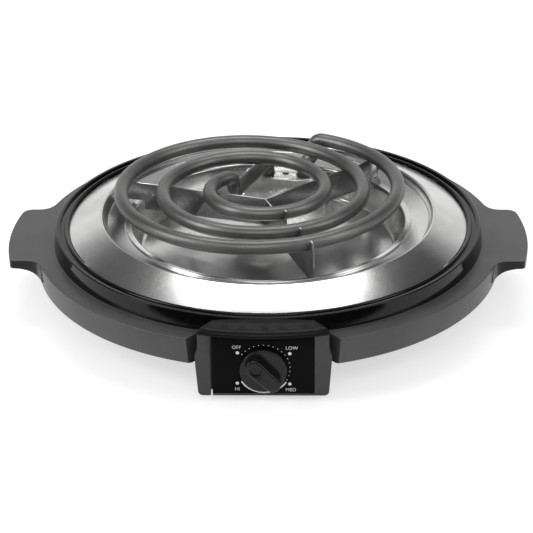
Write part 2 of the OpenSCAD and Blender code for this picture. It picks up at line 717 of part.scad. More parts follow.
module control_housing() {
    color("#4a4a4c") difference() {
        union() {
            // floor and sides, with a low wall at the back for the wires to cross
            slab(box_back, panel_face - 1) difference() {
                box_face();
                translate([0, eps]) box_face(box_wall);
                translate([-box_body_w / 2 + box_wall, box_h / 2]) square([box_body_w - 2 * box_wall, box_h]);
            }
            slab(box_back, box_back + box_wall) intersection() {
                box_face();
                translate([-box_w, 0]) square([2 * box_w, seat_z - box_z]);
            }
            // frame round the panel
            intersection() {
                slab(panel_face - frame_depth, panel_face) difference() {
                    frame_face();
                    translate([-panel_w / 2 + panel_ledge, panel_lip + panel_ledge])
                        square([panel_w - 2 * panel_ledge, frame_h]);
                }
                union() {
                    translate([-box_w, -panel_face - 1, 0]) cube([2 * box_w, 2 * frame_depth, top_z]);
                    linear_extrude(hood_top) hood_plan();
                }
            }
            // hood and its cheeks
            intersection() {
                rotate_extrude($fn = 180) polygon(hood_section);
                linear_extrude(hood_top + 5) hood_plan();
            }
            intersection() {
                translate([0, 0, box_top - 3]) linear_extrude(hood_nose - box_top + 3.5) difference() {
                    hood_plan();
                    hood_plan(box_wall);
                    circle(collar_foot + part_gap, $fn = 180);
                }
                translate([-box_w, -panel_face + 1, 0]) cube([2 * box_w, panel_face, hood_top]);
            }
            // ears for the screws that hold the box to the body
            for (s = [-1, 1]) translate([s > 0 ? ear_x - 4.5 : -box_body_w / 2 + 1, ear_y - 4.5,
                                         ear_z - part_gap - ear_t])
                cube([box_body_w / 2 - ear_x + 3.5, 9, ear_t]);
        }
        // rebate that takes the panel
        slab(panel_face - panel_t, panel_face + 1) translate([-panel_w / 2, panel_lip])
            square([panel_w, hood_foot + rest_gap - panel_z]);
        // groove left of the panel, open at the bottom
        slab(panel_face - panel_t, panel_face + 1) translate([groove_x, -1])
            square([panel_groove + eps, hood_foot - box_z + 1]);
        slab(panel_face - frame_depth - 1, panel_face + 1) translate([groove_x, -1])
            square([panel_groove, slot_h + 1]);
        for (s = [-1, 1]) translate([s * ear_x, ear_y, ear_z - 6])
            cylinder(d = screw_d + 2 * hole_gap, h = 6, $fn = 32);
    }
}

module control_panel() {
    screw_x = thermo_w / 2 + 4;
    color("#161616") difference() {
        union() {
            slab(panel_face - panel_t + rest_gap, panel_face) translate([-panel_w / 2, panel_lip + rest_gap])
                square([panel_w - rest_gap, hood_foot - panel_z - rest_gap]);
            for (s = [-1, 1]) on_panel(panel_face - panel_t - plate_off) translate([s * screw_x, 0, 0])
                cylinder(d = 6, h = plate_off + rest_gap + eps, $fn = 32);
        }
        on_panel(panel_face - panel_t - 5) cylinder(r = bushing_r + hole_gap, h = 12, $fn = 48);
        for (s = [-1, 1]) on_panel(panel_face - panel_t - plate_off - 1)
            translate([s * screw_x, 0, 0]) cylinder(d = pilot_d, h = 1 + plate_off + panel_t - 0.5, $fn = 32);
    }
}

// ---- thermostat ----

plate_off = 1.6;
plate_t = 1;
plate_y = panel_face - panel_t - plate_off - plate_t;
bushing_r = shaft_r + 1.6;
thermo_y = plate_y - thermo_depth;
shaft_in = 5;
shaft_y0 = plate_y - shaft_in;
shaft_y1 = panel_face + knob_gap + knob_disc_t + grip_h - 2;
flat_y = panel_face + knob_gap + 0.6;

module thermostat_body() {
    color("#6b5a48") difference() {
        on_panel(thermo_y) translate([-thermo_w / 2, -thermo_h / 2, 0])
            cube([thermo_w, thermo_h, thermo_depth - rest_gap]);
        on_panel(plate_y - shaft_in - 1) cylinder(r = shaft_r + hole_gap, h = shaft_in + 2, $fn = 48);
    }
}

blade_z = knob_z + 4;
blade_x = 7;
blade_l = 6;

module thermostat_terminals() {
    color("gold") for (s = [-1, 1]) translate([s * blade_x - 3, -thermo_y + rest_gap, blade_z - 0.4])
        cube([6, blade_l, 0.8]);
}

module thermostat_bracket() {
    screw_x = thermo_w / 2 + 4;
    color("silver") difference() {
        on_panel(plate_y) translate([-screw_x - 4, -6, 0]) cube([2 * screw_x + 8, 12, plate_t]);
        on_panel(plate_y - 1) cylinder(r = bushing_r + rest_gap, h = plate_t + 2, $fn = 48);
        for (s = [-1, 1]) on_panel(plate_y - 1) translate([s * screw_x, 0, 0])
            cylinder(d = screw_d + 2 * hole_gap, h = plate_t + 2, $fn = 32);
    }
}

module thermostat_bushing() {
    color("goldenrod") difference() {
        on_panel(plate_y) cylinder(r = bushing_r, h = plate_t + plate_off + panel_t, $fn = 48);
        on_panel(plate_y - 1) cylinder(r = shaft_r + run_gap, h = 20, $fn = 48);
    }
}

module thermostat_screws() {
    color("silver") for (s = [-1, 1]) on_panel(plate_y - 1.8) translate([s * (thermo_w / 2 + 4), 0, 0])
        screw(plate_t + plate_off + panel_t - 0.6, 5.2, 1.8 - rest_gap);
}

module thermostat_shaft() {
    color("goldenrod") difference() {
        on_panel(shaft_y0) cylinder(r = shaft_r, h = shaft_y1 - shaft_y0, $fn = 48);
        on_panel(flat_y) rotate([0, 0, pointer_angle]) translate([-shaft_r - 1, -shaft_r - 1, 0])
            cube([shaft_flat + 1, 2 * shaft_r + 2, shaft_y1]);
    }
}

// ---- knob ----

knob_y = panel_face + knob_gap;

module knob() {
    tail = -(grip_l - grip_w) / 2;
    color("#2b2b2d") difference() {
        on_panel(knob_y) {
            cylinder(d = knob_d, h = knob_disc_t - 0.5);
            translate([0, 0, knob_disc_t - 0.5 - eps])
                cylinder(d1 = knob_d, d2 = knob_d - 1, h = 0.5 + eps);
            rotate([0, 0, pointer_angle]) translate([0, 0, knob_disc_t - 0.1]) linear_extrude(grip_h + 0.1) {
                for (x = [tail, -tail]) translate([x, 0]) circle(d = grip_w, $fn = 64);
                translate([tail, -grip_w / 2]) square([-2 * tail, grip_w]);
            }
        }
        on_panel(knob_y - 1) cylinder(r = shaft_r + rest_gap, h = shaft_y1 - knob_y + 1.4, $fn = 48);
        on_panel(knob_y + knob_disc_t + grip_h - 0.9) rotate([0, 0, pointer_angle])
            translate([tail + 0.3, 0, 0]) cylinder(d = dimple_d, h = 3, $fn = 48);
    }
}

module knob_clip() {
    color("silver") on_panel(flat_y + 0.3) rotate([0, 0, pointer_angle])
        translate([-shaft_r + shaft_flat - 0.5 - rest_gap, -1.7, 0]) cube([0.5, 3.4, 4.6]);
}

// ---- base ----

pan_path = [[0, pan_z], [pan_floor_r, pan_z], [pan_floor_r + 12, pan_z + pan_depth],
            [skirt_r - body_wall - 1.6, pan_z + pan_depth]];
feet_at = [for (x = [-foot_x, foot_x], y = [-foot_y, foot_y]) [x, y]];
earth_at = polar(40, term_angle);

module base_pan() {
    notch_w = box_body_w + 2 * part_gap;
    color("#2a2a2a") difference() {
        rotate_extrude($fn = 180) polygon(sheet(pan_path, pan_t));
        translate([-notch_w / 2, -body_r, 0]) cube([notch_w, body_r - box_back + part_gap, seat_z + 5]);
        difference() {
            linear_extrude(seat_z + 5) notch_plan(body_wall);
            cylinder(r = collar_foot - body_wall, h = seat_z + 6);
        }
        for (a = boss_angles) rotate([0, 0, a]) translate([boss_r, 0, seat_z - 3])
            cylinder(d = screw_d + 2 * hole_gap, h = 6, $fn = 32);
        for (p = feet_at) translate([p[0], p[1], pan_z - 2])
            cylinder(d = screw_d + 2 * hole_gap, h = 6, $fn = 32);
        for (i = [0:vent_n - 1]) rotate([0, 0, 360 / vent_n * (i + 0.5)]) translate([16, -1.5, pan_z - 2])
            cube([14, 3, 6]);
        translate([earth_at[0], earth_at[1], pan_z - 2]) cylinder(d = pilot_d, h = 6, $fn = 32);
    }
}

module base_screws() {
    color("silver") for (a = boss_angles) rotate([0, 0, a])
        translate([boss_r, 0, seat_z - pan_t - 1.8 - rest_gap]) screw(8);
}

module housing_screws() {
    color("silver") for (s = [-1, 1])
        translate([s * ear_x, ear_y, ear_z - part_gap - ear_t - 1.8 - rest_gap]) screw(6.5);
}

module feet() {
    color("#1e1e1e") for (p = feet_at) translate([p[0], p[1], 0]) difference() {
        cylinder(d1 = foot_d - 1.6, d2 = foot_d, h = foot_h);
        translate([0, 0, -1]) cylinder(d = 7, h = foot_h - 2, $fn = 32);
        cylinder(d = screw_d + 2 * hole_gap, h = foot_h + 1, $fn = 32);
    }
}

module foot_screws() {
    color("silver") for (p = feet_at) translate([p[0], p[1], foot_h - 3 - 1.8 - rest_gap]) screw(8.2);
}

module foot_nuts() {
    color("silver") for (p = feet_at) translate([p[0], p[1], pan_z + pan_t + rest_gap])
        nut(5.5, 2.4, screw_d + 2 * rest_gap);
}

inlet_flange_d = inlet_d + 2;
inlet_flange_t = 1.4;
function skirt_at(z) = skirt_r + (z - skirt_z) * skirt_draft / skirt_h;
// The flanges stand flat, so they clear the leaning wall at its nearest and at its farthest
inlet_wall_in = skirt_at(inlet_z - inlet_flange_d / 2) - body_wall;
inlet_wall_out = skirt_at(inlet_z + inlet_flange_d / 2);
grommet_y = inlet_wall_in - rest_gap - inlet_flange_t;

module inlet_grommet() {
    neck_end = inlet_wall_out + rest_gap - grommet_y;
    color("#1e1e1e") translate([0, grommet_y, inlet_z]) rotate([-90, 0, 0]) difference() {
        union() {
            cylinder(d = inlet_flange_d, h = inlet_flange_t, $fn = 48);
            cylinder(d = inlet_d - 2 * rest_gap, h = neck_end + 1, $fn = 48);
            translate([0, 0, neck_end]) cylinder(d = inlet_flange_d, h = inlet_flange_t + 0.6, $fn = 48);
        }
        translate([0, 0, -1]) cylinder(d = inlet_d - 3, h = 12, $fn = 48);
    }
}

module earth_screw() {
    color("goldenrod") translate([earth_at[0], earth_at[1], pan_z + pan_t + lug_t + 1.8 + rest_gap])
        rotate([180, 0, 0]) screw(3.4);
}

// ---- wires ----

// A round wire swept along the points p
function flat3(v) = [for (a = v) each a];
function heading3(p, i) =
    i == 0 ? unit(p[1] - p[0]) : i == len(p) - 1 ? unit(p[i] - p[i - 1])
    : unit(unit(p[i] - p[i - 1]) + unit(p[i + 1] - p[i]));
function across(h) = abs(h[2]) > 0.9 ? unit(cross(h, [1, 0, 0])) : unit(cross(h, [0, 0, 1]));
module wire(p, d = wire_d, sides = 8) {
    rings = [for (i = [0:len(p) - 1]) let (h = heading3(p, i), u = across(h), v = cross(h, u))
        [for (k = [0:sides - 1]) p[i] + d / 2 * (cos(360 * k / sides) * u + sin(360 * k / sides) * v)]];
    n = len(p);
    polyhedron(flat3(rings), concat(
        [[for (k = [0:sides - 1]) k]],
        [[for (k = [sides - 1:-1:0]) (n - 1) * sides + k]],
        [for (i = [0:n - 2], k = [0:sides - 1])
            [i * sides + k, (i + 1) * sides + k, (i + 1) * sides + (k + 1) % sides, i * sides + (k + 1) % sides]]));
}

// A smooth curve through hand-placed points
function curve_at(p, i, t) = let (n = len(p) - 1, a = p[max(i - 1, 0)], b = p[i], c = p[min(i + 1, n)],
    d = p[min(i + 2, n)]) 0.5 * (2 * b + (c - a) * t + (2 * a - 5 * b + 4 * c - d) * t * t
    + (3 * b - a - 3 * c + d) * t * t * t);
function curve(p, k = 4) = concat([for (i = [0:len(p) - 2], j = [0:k - 1]) curve_at(p, i, j / k)],
                                  [p[len(p) - 1]]);

wire_z = pan_z + pan_t + 3;
lug_z = nut_z + nut_t + rest_gap;
wire_in_y = grommet_y - 2.5;
blade_end = thermo_y - blade_l - 0.4;
barrel = 6.5;

// A ring lug on a terminal pin, with its wire barrel toward direction a
module lug(at, z, a) {
    translate([at[0], at[1], z]) rotate([0, 0, a]) difference() {
        union() {
            cylinder(d = pin_d + 4, h = lug_t, $fn = 32);
            translate([0, -1.6, 0]) cube([barrel + 2, 3.2, lug_t]);
        }
        translate([0, 0, -1]) cylinder(d = pin_d + 2 * hole_gap, h = 3, $fn = 32);
    }
}

// Where a wire starts on a lug's barrel
function barrel_at(at, z, a) = let (p = at + polar(barrel, a)) [p[0], p[1], z + lug_t + wire_d / 2 - 0.2];

module live_wire() {
    color("saddlebrown") wire(curve([[2, wire_in_y, inlet_z], [6, 108, inlet_z - 1.4],
        [24, 92, inlet_z - 2.6], [40, 71, wire_z + 4], [46, 55, wire_z], [60, 24, wire_z], [62, -10, wire_z],
        [52, -36, wire_z], [36, -60, wire_z], [20, -75, wire_z + 6], [blade_x + 1, -84, blade_z + 1],
        [blade_x, -blade_end, blade_z]]));
}

module element_wire() {
    t = terminal(-1);
    color("firebrick") {
        lug(t, lug_z, -60);
        wire(curve([barrel_at(t, lug_z, -60), [30, 42, wire_z + 4], [40, 10, wire_z], [36, -34, wire_z],
            [16, -60, wire_z], [-4, -76, wire_z + 6], [-blade_x - 1, -84, blade_z + 1],
            [-blade_x, -blade_end, blade_z]]));
    }
}

module neutral_wire() {
    t = terminal(1);
    color("steelblue") {
        lug(t, lug_z, 120);
        wire(curve([[-2.2, wire_in_y, inlet_z + 1.4], [-6, 107, inlet_z + 0.2], [-11.5, 92, inlet_z - 1],
            [-11, 78, lug_z + 2.8], barrel_at(t, lug_z, 120)]));
    }
}

module earth_wire() {
    z = pan_z + pan_t + rest_gap;
    color("yellowgreen") {
        lug(earth_at, z, 160);
        wire(curve([[0.2, wire_in_y, inlet_z - 3], [-5, 104, inlet_z - 4.7], [-24, 92, inlet_z - 5],
            [-28, 76, wire_z + 3], [-26, 58, wire_z], [-14, 46, wire_z], barrel_at(earth_at, z, 160)]));
    }
}

body_shell();
trim_ring();
drip_bowl();
terminal_bracket();
terminal_block();
heating_coil();
terminal_pins();
terminal_nuts();
support_strip();
support_arm();
control_housing();
control_panel();
knob();
knob_clip();
thermostat_shaft();
thermostat_bushing();
thermostat_body();
thermostat_terminals();
thermostat_bracket();
thermostat_screws();
base_pan();
base_screws();
housing_screws();
feet();
foot_screws();
foot_nuts();
inlet_grommet();
live_wire();
element_wire();
neutral_wire();
earth_wire();
earth_screw();
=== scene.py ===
# %% [markdown]
# # Countertop coil burner
# A sheathed heating coil lies over a polished drip bowl, in a moulded body with two handles
# and a control box. The frame holds the measured solids. This lesson dresses them: it remakes
# the pieces whose curves catch the light, and gives every piece the finish of the real one.

# %% Load the frame
import math

import bpy
from mathutils import Matrix, Vector


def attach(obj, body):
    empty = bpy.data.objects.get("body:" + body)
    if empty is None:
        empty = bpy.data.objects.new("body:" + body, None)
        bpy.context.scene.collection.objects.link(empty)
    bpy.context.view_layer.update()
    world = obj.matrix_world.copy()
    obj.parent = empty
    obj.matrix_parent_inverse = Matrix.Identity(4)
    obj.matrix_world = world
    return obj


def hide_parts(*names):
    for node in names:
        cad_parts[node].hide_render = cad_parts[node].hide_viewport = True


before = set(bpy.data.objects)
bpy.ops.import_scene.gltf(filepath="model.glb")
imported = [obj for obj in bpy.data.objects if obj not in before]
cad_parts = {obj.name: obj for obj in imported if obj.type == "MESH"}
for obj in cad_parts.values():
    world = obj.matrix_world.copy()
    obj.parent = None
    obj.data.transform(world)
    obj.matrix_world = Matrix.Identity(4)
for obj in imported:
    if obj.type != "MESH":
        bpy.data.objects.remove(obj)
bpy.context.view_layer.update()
MM = 0.001
print("nodes:", len(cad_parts))

# %% [markdown]
# ## Hands for the modelling
# Operators act on whatever is selected, and the frame's nodes come in selected. So each step
# first clears the selection, then picks the one object that it works on.


# %% Selecting
def clear_selection():
    if bpy.context.object and bpy.context.object.mode != "OBJECT":
        bpy.ops.object.mode_set(mode="OBJECT")
    bpy.ops.object.select_all(action="DESELECT")


def pick(obj):
    clear_selection()
    bpy.context.view_layer.objects.active = obj
    obj.select_set(True)


def polar(r, degrees):
    return Vector((r * math.cos(math.radians(degrees)), r * math.sin(math.radians(degrees))))


def arc(cx, cy, r, start, end, steps=8):
    turns = [start + (end - start) * i / steps for i in range(steps + 1)]
    return [(cx + polar(r, a).x, cy + polar(r, a).y) for a in turns]


# %% Drawing a line of edges
def draw_line(name, points, upright=True):
    """Draws edges through (x, z) points in the XZ plane, or (x, y) points when not upright."""
    spots = [Vector((x, 0, v)) * MM if upright else Vector((x, v, 0)) * MM for x, v in points]
    clear_selection()
    bpy.ops.mesh.primitive_plane_add(size=0.001)
    obj = bpy.context.object
    obj.name = obj.data.name = name
    bpy.ops.object.mode_set(mode="EDIT")
    bpy.ops.mesh.select_all(action="SELECT")
    bpy.ops.mesh.merge(type="CENTER")
    bpy.ops.transform.translate(value=spots[0])
    for a, b in zip(spots, spots[1:]):
        bpy.ops.mesh.extrude_region_move(TRANSFORM_OT_translate={"value": b - a})
    bpy.ops.mesh.select_all(action="SELECT")
    bpy.ops.mesh.remove_doubles(threshold=1e-6)
    return obj


SMOOTH_BELOW = 35


def finish_mesh(obj):
    """Merges doubles, turns the faces outward and smooths all but the sharp edges."""
    pick(obj)
    bpy.ops.object.mode_set(mode="EDIT")
    bpy.ops.mesh.select_all(action="SELECT")
    bpy.ops.mesh.remove_doubles(threshold=1e-6)
    bpy.ops.mesh.normals_make_consistent(inside=False)
    bpy.ops.object.mode_set(mode="OBJECT")
    bpy.ops.object.shade_smooth_by_angle(angle=math.radians(SMOOTH_BELOW))
    return obj


def turned(name, section, steps=256):
    """Spins a closed section once round the Z axis."""
    obj = draw_line(name, section + section[:1])
    bpy.ops.mesh.spin(steps=steps, angle=2 * math.pi, center=(0, 0, 0), axis=(0, 0, 1))
    return finish_mesh(obj)


def plate(name, outline, z, height):
    """Raises an outline in the XY plane into a solid with upright walls."""
    obj = draw_line(name, outline + outline[:1], upright=False)
    bpy.ops.mesh.edge_face_add()
    bpy.ops.transform.translate(value=(0, 0, z * MM))
    bpy.ops.mesh.extrude_region_move(TRANSFORM_OT_translate={"value": (0, 0, height * MM)})
    return finish_mesh(obj)


# %% Modifiers, applied at once
def modify(obj, kind, **settings):
    """Adds a modifier, sets it and applies it."""
    pick(obj)
    bpy.ops.object.modifier_add(type=kind)
    modifier = obj.modifiers[-1]
    for key, value in settings.items():
        setattr(modifier, key, value)
    bpy.ops.object.modifier_apply(modifier=modifier.name)


def join_or_cut(obj, tool, operation="DIFFERENCE"):
    """Cuts a tool from an object, or joins it on, and takes the tool away."""
    modify(obj, "BOOLEAN", object=tool, operation=operation, solver="EXACT")
    pick(tool)
    bpy.ops.object.delete()


def round_edges(obj, width, segments=2):
    modify(obj, "BEVEL", width=width * MM, segments=segments, limit_method="ANGLE",
           angle_limit=math.radians(SMOOTH_BELOW), use_clamp_overlap=True, harden_normals=False)
    bpy.ops.object.shade_smooth_by_angle(angle=math.radians(40))


def peg(name, radius, low, high, vertices=96, axis="Z"):
    """A cylinder between two points in mm, along Z or along Y."""
    middle = (Vector(low) + Vector(high)) / 2 * MM
    turn = (0, 0, 0) if axis == "Z" else (math.pi / 2, 0, 0)
    clear_selection()
    bpy.ops.mesh.primitive_cylinder_add(vertices=vertices, radius=radius * MM, rotation=turn,
                                        depth=(Vector(high) - Vector(low)).length * MM, location=middle)
    obj = bpy.context.object
    obj.name = obj.data.name = name
    bpy.ops.object.transform_apply(location=True, rotation=True, scale=True)
    return obj


# %% Placing a piece in the frame
def stand_for(obj, node, body="burner"):
    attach(obj, body)
    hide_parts(node)
    print(obj.name, "has", len(obj.data.polygons), "faces")


def softened(node, name, width):
    """Copies a node's mesh, merges it, pairs its triangles into quads and rounds its edges."""
    pick(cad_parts[node])
    bpy.ops.object.duplicate()
    obj = bpy.context.object
    obj.name = obj.data.name = name
    bpy.ops.object.mode_set(mode="EDIT")
    bpy.ops.mesh.select_all(action="SELECT")
    bpy.ops.mesh.remove_doubles(threshold=2e-6)
    bpy.ops.mesh.tris_convert_to_quads(face_threshold=math.radians(1), shape_threshold=math.radians(170))
    bpy.ops.object.mode_set(mode="OBJECT")
    round_edges(obj, width)
    stand_for(obj, node)
    return obj


# %% [markdown]
# ## Camera
# The camera stands a metre off, a little right of the middle, and looks down at the burner.

# %% Camera
AZIMUTH, ELEVATION, ROLL = (math.radians(v) for v in (1.479, 26.633, -0.602))
TARGET = Vector((-1.018, 0, 13.38)) * MM
DISTANCE = 1027.05 * MM
SENSOR = 36
FOCAL_PIXELS, FRAME_PIXELS = 1955.38, 533

back = Vector((math.sin(AZIMUTH) * math.cos(ELEVATION), -math.cos(AZIMUTH) * math.cos(ELEVATION),
               math.sin(ELEVATION)))
level = Vector((math.cos(AZIMUTH), math.sin(AZIMUTH), 0))
upward = back.cross(level)
right = math.cos(ROLL) * level + math.sin(ROLL) * upward
top = math.cos(ROLL) * upward - math.sin(ROLL) * level
clear_selection()
bpy.ops.object.camera_add()
camera = bpy.context.object
turn = Matrix((right, top, back)).transposed().to_4x4()
camera.matrix_world = Matrix.Translation(TARGET + DISTANCE * back) @ turn
camera.data.sensor_width = SENSOR
camera.data.lens = FOCAL_PIXELS / FRAME_PIXELS * SENSOR
bpy.context.scene.camera = camera
print("lens:", round(camera.data.lens, 1), "mm")

# %% [markdown]
# ## Finishes
# Every colour is written as sRGB hex and turned to linear by one function, and one small
# function adds a node with its settings and its links.


# %% Colour and nodes
def colour(code):
    parts = [int(code[i:i + 2], 16) / 255 for i in (1, 3, 5)]
    return (*[v / 12.92 if v <= 0.04045 else ((v + 0.055) / 1.055) ** 2.4 for v in parts], 1)


def add(material, kind, links=None, **settings):
    """Adds a node. A setting _x is its attribute x, i1 is its second socket, x its socket x."""
    node = material.node_tree.nodes.new(kind)
    for key, value in settings.items():
        if key.startswith("_"):
            setattr(node, key[1:], value)
        else:
            numbered = key[0] == "i" and key[1:].isdigit()
            socket = int(key[1:]) if numbered else key.replace("_", " ")
            node.inputs[socket].default_value = value
    for socket, source in (links or {}).items():
        material.node_tree.links.new(source, node.inputs[socket])
    return node


def new_material(name):
    material = bpy.data.materials.new(name)
    material.use_nodes = True
    material.node_tree.nodes.clear()
    return material


def ramp(material, source, stops):
    node = add(material, "ShaderNodeValToRGB", {"Fac": source})
    while len(node.color_ramp.elements) < len(stops):
        node.color_ramp.elements.new(0.5)
    for element, (place, code) in zip(node.color_ramp.elements, stops):
        element.position = place
        element.color = colour(code)
    return node.outputs["Color"]


def grain(material, size_mm, detail=3):
    """Noise whose spots are about size_mm across, in the object's own coordinates."""
    spot = add(material, "ShaderNodeTexCoord").outputs["Object"]
    return add(material, "ShaderNodeTexNoise", {"Vector": spot}, Scale=1 / (size_mm * MM), Detail=detail,
               Roughness=0.55).outputs["Fac"]


def span(material, source, low, high):
    """Spreads the noise, which hardly leaves 0.3 to 0.7, over a range of values."""
    return add(material, "ShaderNodeMapRange", {"Value": source}, From_Min=0.3, From_Max=0.7,
               To_Min=low, To_Max=high).outputs["Result"]


def close_material(material, surface, **settings):
    """Links a surface's colour, roughness and bump to the shader, and the shader to the output."""
    shader = add(material, "ShaderNodeBsdfPrincipled", surface, **settings)
    add(material, "ShaderNodeOutputMaterial", {"Surface": shader.outputs["BSDF"]})
    return material


def bump(material, height, depth_mm):
    return add(material, "ShaderNodeBump", {"Height": height}, Distance=depth_mm * MM,
               Strength=1.0).outputs["Normal"]


# %% [markdown]
# ### Moulded plastic
# Injection-moulded ABS takes the grain of its mould. Fine spark-eroded grain makes it satin,
# and a polished mould makes it gloss. Both vary a little in tone where the plastic flowed.


# %% Plastics
def moulded(name, dark, light, rough, grain_mm=0.5, depth_mm=0.02, flow_mm=30, shine=0.5):
    m = new_material(name)
    tone = ramp(m, grain(m, flow_mm), [(0.35, dark), (0.65, light)])
    texture = grain(m, grain_mm, detail=2)
    return close_material(m, {"Base Color": tone, "Roughness": span(m, texture, *rough),
                              "Normal": bump(m, texture, depth_mm)}, IOR=1.5,
                          Specular_IOR_Level=shine)


satin_abs = moulded("satin_abs", "#3f3f40", "#494949", (0.34, 0.42), 0.6, 0.03)
gloss_abs = moulded("gloss_abs", "#090909", "#0e0e0e", (0.08, 0.13), 3.0, 0.01, shine=0.28)
housing_abs = moulded("housing_abs", "#404041", "#4a4a4b", (0.45, 0.55), 0.6, 0.03, shine=0.3)
hood_abs = moulded("hood_abs", "#070707", "#101010", (0.30, 0.42), 1.6, 0.03, 8, shine=0.18)
# darker, glossier plastic for the handles' upright sides: painted shade, standing for the shadow these sides fall
# in
handle_side_shade_abs = moulded("painted_shade_handle_side_abs", "#121213", "#1a1a1b", (0.16, 0.24), 2.0, 0.01, shine=0.25)
panel_black = moulded("matt_panel_lacquer", "#060606", "#0a0a0a", (0.25, 0.32), 4.0, 0.004, shine=0.05)
knob_abs = moulded("knob_abs", "#161617", "#1f1f20", (0.16, 0.24), 0.8, 0.01, shine=0.25)
rubber = moulded("moulded_rubber", "#151515", "#1d1d1d", (0.7, 0.85), 0.7, 0.05)
phenolic = moulded("phenolic_case", "#4a3827", "#5b4733", (0.45, 0.6), 0.9, 0.03)
steatite = moulded("steatite_ceramic", "#a9a69f", "#bcb9b1", (0.6, 0.75), 0.8, 0.012)
white_ink = moulded("screen_printed_ink", "#f2f2f2", "#ffffff", (0.5, 0.6), 0.4, 0.004)
sleeve = {key: moulded(key + "_pvc_sleeve", dark, light, (0.4, 0.5), 1.5, 0.01, 12) for key, dark, light in (
    ("brown", "#53301b", "#64402a"), ("red", "#8e1a18", "#a82724"),
    ("blue", "#2453a0", "#3163b5"), ("green", "#4d8a2b", "#c8b428"))}

# %% [markdown]
# ### Metals
# Spun steel keeps fine rings from the tool that pressed it over its former, and heat tints it
# in soft patches. The rings are drawn a millimetre apart, wider than real ones, to show at all.


# %% Metals
def steel(name, dark, light, rough, patch_mm=35, rings_mm=0.0, depth_mm=0.01, grain_mm=0.8):
    m = new_material(name)
    tone = ramp(m, grain(m, patch_mm), [(0.3, dark), (0.62, light)])
    scratch = grain(m, grain_mm, detail=2)
    height = scratch
    if rings_mm:
        spot = add(m, "ShaderNodeTexCoord").outputs["Object"]
        flat = add(m, "ShaderNodeVectorMath", {0: spot}, _operation="MULTIPLY", i1=(1, 1, 0)).outputs["Vector"]
        radius = add(m, "ShaderNodeVectorMath", {0: flat}, _operation="LENGTH").outputs["Value"]
        height = add(m, "ShaderNodeTexNoise", {"W": radius}, _noise_dimensions="1D", Scale=1 / (rings_mm * MM),
                     Detail=2).outputs["Fac"]
    return close_material(m, {"Base Color": tone, "Roughness": span(m, scratch, *rough),
                              "Normal": bump(m, height, depth_mm)}, Metallic=1.0)


spun_steel = steel("spun_polished_steel", "#b6b6b5", "#d6d6d5", (0.18, 0.26), 45,
                   rings_mm=1.2, depth_mm=0.004)
pressed_steel = steel("pressed_polished_steel", "#c6c6c5", "#e6e6e5", (0.17, 0.24), 30,
                      rings_mm=1.6, depth_mm=0.004)
sheet_steel = steel("polished_sheet_steel", "#dededd", "#f2f2f1", (0.22, 0.28), 20, depth_mm=0.002, grain_mm=3)
strip_steel = steel("scaled_strip_steel", "#747474", "#8e8e8e", (0.26, 0.36), 15)
# bright steel for the strips' faces that face up: bare sheared top edges, and a painted highlight where the light
# from above falls on them
sheared_edge_and_highlight_steel = steel("sheared_edge_and_painted_highlight_steel", "#dcdcdc", "#f0f0f0", (0.25, 0.35), 6)
zinc_steel = steel("zinc_plated_steel", "#9a9c9e", "#b9bbbd", (0.3, 0.42), 8)
turned_brass = steel("turned_brass", "#b08d4a", "#cba75f", (0.25, 0.35), 8)

# %% [markdown]
# ### Oxidised sheath
# The coil's steel sheath is drawn through a die and then baked until its oxide turns grey.
# It keeps fine lines along the tube, so its shine is soft and has no clear reflections.

# %% Oxide and enamel
oxide_sheath = steel("baked_oxide_sheath", "#6a6a69", "#787877", (0.38, 0.46), 25, rings_mm=0.5, depth_mm=0.012)
pan_enamel = moulded("baked_black_enamel", "#141414", "#1c1c1c", (0.35, 0.5), 1.5, 0.02)

# %% [markdown]
# ## Sizes that the pieces share
# The frame's solids are the measure of everything, so these values repeat theirs in mm.

# %% Shared sizes
FLAT_TOP, COLLAR_TOP, RING_EDGE, FLOOR, SKIRT_FOOT = 33.0, 41.2, 40.0, 25.5, 19.2
RING_R, COLLAR_R, COLLAR_FOOT_R, BODY_R, SKIRT_R, HANDLE_R = 102.5, 109.5, 111.0, 120.4, 119.2, 134.0
SHEET, WALL = 0.7, 2.4


def sheet_section(path, thickness):
    """Closes a path of (r, z) points into a thin section, with the sheet below the path."""
    points = [Vector(p) for p in path]
    sides = [(b - a).normalized() for a, b in zip(points, points[1:])]
    sides = [Vector((-s.y, s.x)) for s in sides]
    lower = []
    for i, p in enumerate(points):
        a, b = sides[max(i - 1, 0)], sides[min(i, len(sides) - 1)]
        lower.append(p + thickness * (a + b) / (1 + a.dot(b)))
    return [tuple(p) for p in points] + [tuple(p) for p in reversed(lower)]


# %% [markdown]
# ## Trim ring
# The ring is one sheet of steel, spun over a former: a wide cone, a rolled lip, a short wall
# and a ledge that holds the bowl. A section spun round the axis gives the same unbroken curve.

# %% Trim ring
LIP_BEND = 1.3
ring_path = ([(RING_R, RING_EDGE - 0.05), (RING_R - 0.25, RING_EDGE + 0.1)]
             + arc(86.2, RING_EDGE + 7 - LIP_BEND, LIP_BEND, 66, 198, 14)
             + [(83.9, 43.9)] + arc(82.4, 44.15, 1.1, 345, 288, 5)[1:] + [(71.8, 41.0)])
ring = turned("spun_trim_ring", sheet_section(ring_path, SHEET))
TAB_R, TAB_Z, TAB_SIZE = 102.3, 39.72, Vector((1.7, 5, 0.55))
for i in range(6):
    clear_selection()
    bpy.ops.mesh.primitive_cube_add(size=1, location=(TAB_R * MM, 0, TAB_Z * MM), scale=TAB_SIZE * MM)
    tab = bpy.context.object
    bpy.ops.object.transform_apply(location=True, rotation=False, scale=True)
    tab.rotation_euler.z = math.radians(-90 + 60 * i)
    bpy.ops.object.transform_apply(location=False, rotation=True, scale=False)
    join_or_cut(ring, tab, "UNION")
finish_mesh(ring)
ring.data.materials.append(spun_steel)
stand_for(ring, "trim_ring")

# %% [markdown]
# ## Drip bowl
# The bowl is pressed from one sheet. Its flange lies on the ring's ledge, and its wall bends
# into a flat floor. It is cut away at the back, where the terminals pass.

